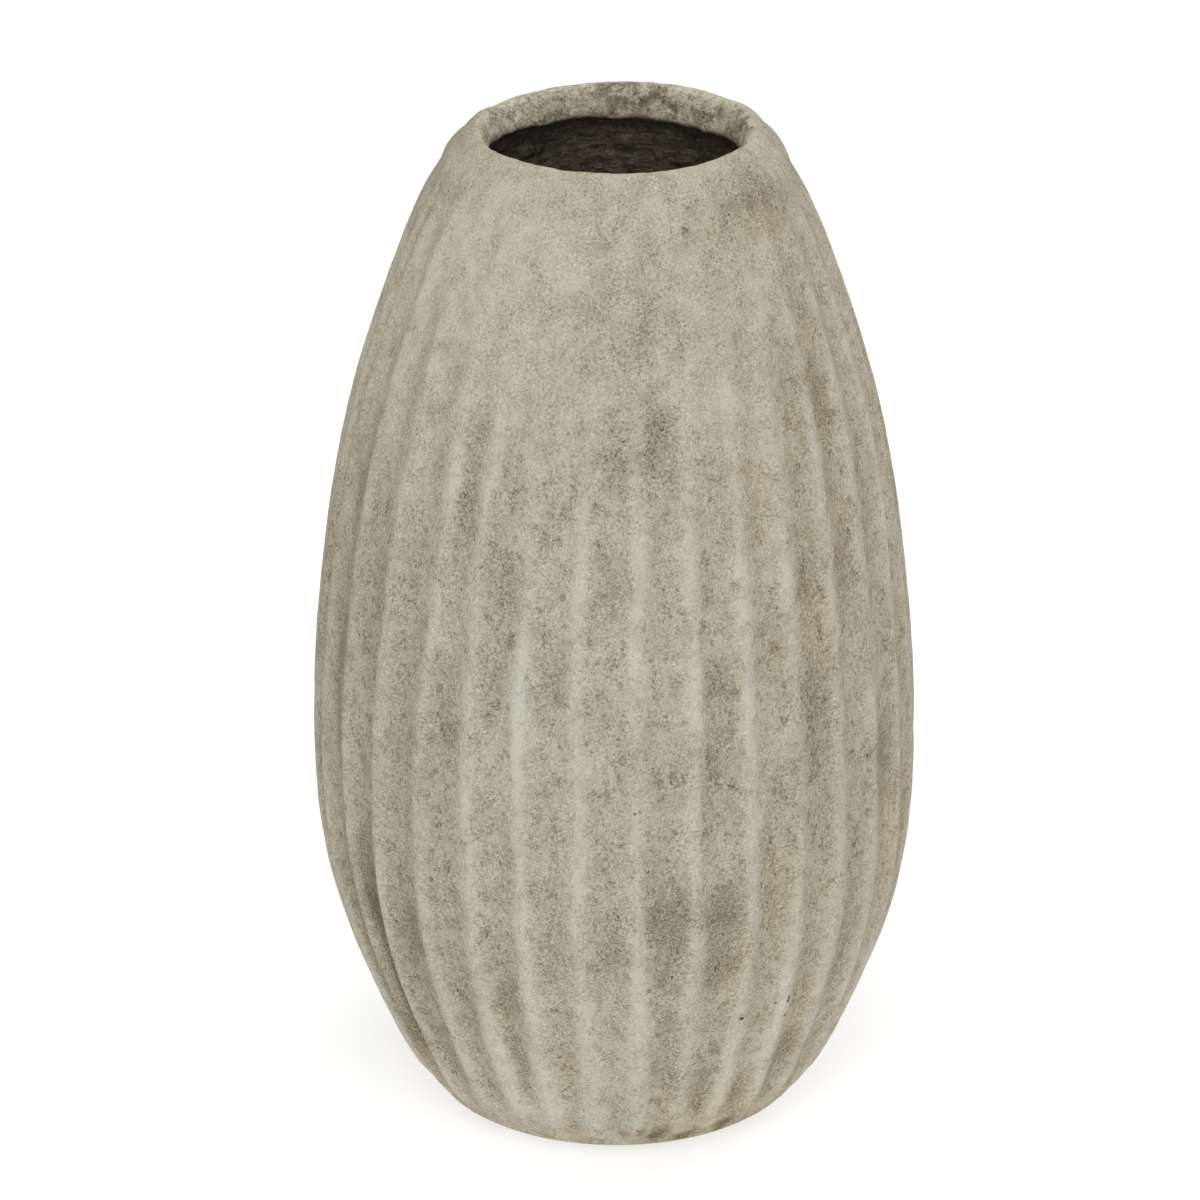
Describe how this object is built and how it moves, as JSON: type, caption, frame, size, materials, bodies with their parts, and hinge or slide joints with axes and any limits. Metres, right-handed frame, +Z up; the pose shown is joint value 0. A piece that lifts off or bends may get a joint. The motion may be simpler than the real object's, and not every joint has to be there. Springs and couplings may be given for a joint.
{
  "type": "fluted ovoid vase",
  "caption": "Egg-shaped upright vase in sand-finished clay with shallow vertical flutes, a thick rolled lip round a small mouth and a dark sealed inside; holds stems or dry arrangements.",
  "frame": {"origin": "on the vase's upright axis, in the plane of the felt pads' undersides, which it stands on", "axes": "+Z up along the vase's axis, -Y towards the viewer of the picture, +X to the viewer's right"},
  "size_m": [0.1769, 0.1768, 0.3],
  "materials": {
    "sandy_clay": "rough warm-grey sand coat, speckled, paler on the ridges and darker in the flutes",
    "raw_clay": "unfinished fired clay, matt",
    "dark_seal": "dark wiped waterproof coat, dull",
    "grey_felt": "pressed grey felt"
  },
  "bodies": {
    "root": {"fluted_wall": "sandy_clay", "lip_coil": "sandy_clay", "base_slab": "raw_clay", "seam_coil": "raw_clay", "inner_seal_coat": "dark_seal", "felt_pad_1": "grey_felt", "felt_pad_2": "grey_felt", "felt_pad_3": "grey_felt", "felt_pad_4": "grey_felt"}
  },
  "joints": []
}
